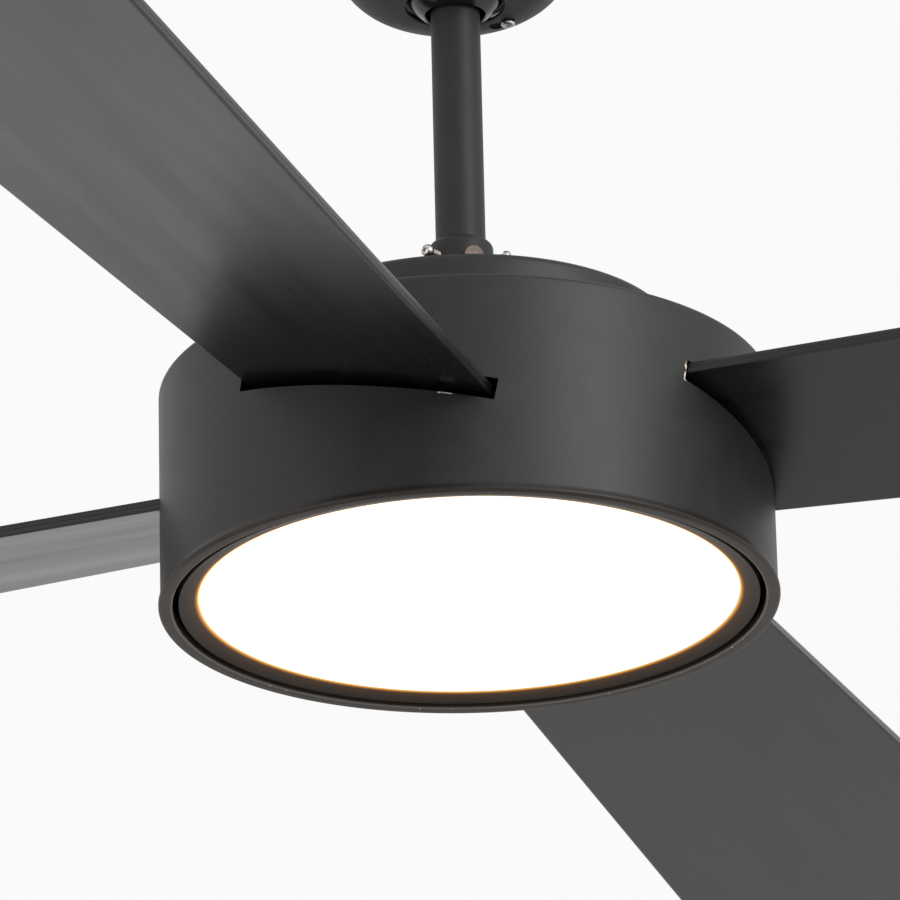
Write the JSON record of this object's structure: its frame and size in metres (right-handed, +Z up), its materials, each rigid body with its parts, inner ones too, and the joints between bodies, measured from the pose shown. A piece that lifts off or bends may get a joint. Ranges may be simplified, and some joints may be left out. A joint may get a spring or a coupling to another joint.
{
  "type": "ceiling fan with light",
  "caption": "Down-rod ceiling fan: a slotted drum turns with its blades around a fixed round LED light, hung from a ball joint under a round canopy.",
  "frame": {"origin": "centre of the hanger bracket's flat top, on the ceiling plane", "axes": "+Z up, along the fan's axis when it hangs plumb; +X to the viewer's right and +Y away from the viewer"},
  "size_m": [1.377, 1.377, 0.42],
  "materials": {
    "drum_paint": "matt black powder coat, fine texture",
    "rod_paint": "matt black powder coat",
    "canopy_paint": "matt black powder coat, grained",
    "bezel_paint": "satin black",
    "blade_board": "black stained board under satin lacquer, faint grain along the blade",
    "ball_plastic": "glossy black",
    "liner_nylon": "natural nylon",
    "zinc_steel": "zinc-plated sheet",
    "screw_steel": "nickel plated",
    "shaft_steel": "ground steel",
    "cast_alloy": "as cast",
    "core_steel": "laminated sheet",
    "copper_wire": "enamelled copper",
    "magnet": "sintered",
    "white_plastic": "moulded",
    "lead_rubber": "matt sheath",
    "board_white": "white solder mask",
    "opal_diffuser": "opal, lit from behind"
  },
  "bodies": {
    "hanger": {"ceiling_bracket": "zinc_steel", "receiver_box": "white_plastic", "terminal_block": "white_plastic", "canopy_screw_1": "screw_steel", "canopy_screw_2": "screw_steel"},
    "canopy": {"canopy": "canopy_paint"},
    "liner": {"seat_liner": "liner_nylon"},
    "stator": {"hanger_ball": "ball_plastic", "ball_pin": "shaft_steel", "downrod": "rod_paint", "yoke_coupling": "rod_paint", "clevis_pin": "screw_steel", "hairpin_clip": "screw_steel", "coupling_screw_1": "screw_steel", "coupling_screw_2": "screw_steel", "rod_lead": "lead_rubber", "motor_shaft": "shaft_steel", "stator_core": "core_steel", "stator_winding": "copper_wire", "bearing_inner_lower": "shaft_steel", "bearing_inner_upper": "shaft_steel", "light_mount_plate": "zinc_steel", "shaft_nut": "screw_steel", "light_pan": "rod_paint", "pan_screw_1": "screw_steel", "pan_screw_2": "screw_steel", "pan_screw_3": "screw_steel", "led_board": "board_white", "led_driver": "white_plastic"},
    "bearing_cages": {"bearing_cage_lower": "shaft_steel", "bearing_cage_upper": "shaft_steel"},
    "light_cover": {"bezel_ring": "bezel_paint", "diffuser": "opal_diffuser"},
    "rotor": {"drum_shell": "drum_paint", "top_cover": "drum_paint", "motor_lower_shell": "cast_alloy", "motor_upper_shell": "cast_alloy", "magnet_ring": "magnet", "bearing_outer_lower": "shaft_steel", "bearing_outer_upper": "shaft_steel", "drum_screw_1": "screw_steel", "drum_screw_2": "screw_steel", "drum_screw_3": "screw_steel", "drum_screw_4": "screw_steel", "blade_1": "blade_board", "blade_2": "blade_board", "blade_3": "blade_board", "blade_4": "blade_board", "blade_bracket_1": "zinc_steel", "blade_bracket_2": "zinc_steel", "blade_bracket_3": "zinc_steel", "blade_bracket_4": "zinc_steel", "blade_screw_1a": "screw_steel", "blade_screw_1b": "screw_steel", "blade_screw_2a": "screw_steel", "blade_screw_2b": "screw_steel", "blade_screw_3a": "screw_steel", "blade_screw_3b": "screw_steel", "blade_screw_4a": "screw_steel", "blade_screw_4b": "screw_steel"}
  },
  "joints": [
    {"name": "tilt_x", "type": "hinge", "parent": "hanger", "child": "liner", "pos_m": [0, 0, -0.0605], "axis": [1, 0, 0], "range_deg": [-20, 20]},
    {"name": "tilt_y", "type": "hinge", "parent": "liner", "child": "stator", "pos_m": [0, 0, -0.0605], "axis": [0, 1, 0], "range_deg": [-20, 20]},
    {"name": "rotor_spin", "type": "hinge", "parent": "stator", "child": "rotor", "pos_m": [0, 0, -0.3467], "axis": [0, 0, 1], "continuous": true},
    {"name": "cage_spin", "type": "hinge", "parent": "stator", "child": "bearing_cages", "pos_m": [0, 0, -0.306], "axis": [0, 0, 1], "continuous": true},
    {"name": "canopy_twist", "type": "hinge", "parent": "hanger", "child": "canopy", "pos_m": [0, 0, -0.079], "axis": [0, 0, 1], "range_deg": [-13, 0]},
    {"name": "light_twist", "type": "hinge", "parent": "stator", "child": "light_cover", "pos_m": [0, 0, -0.415], "axis": [0, 0, 1], "range_deg": [0, 15]}
  ],
  "couplings": [
    {"joint": "cage_spin", "follows": "rotor_spin", "ratio": 0.554}
  ]
}
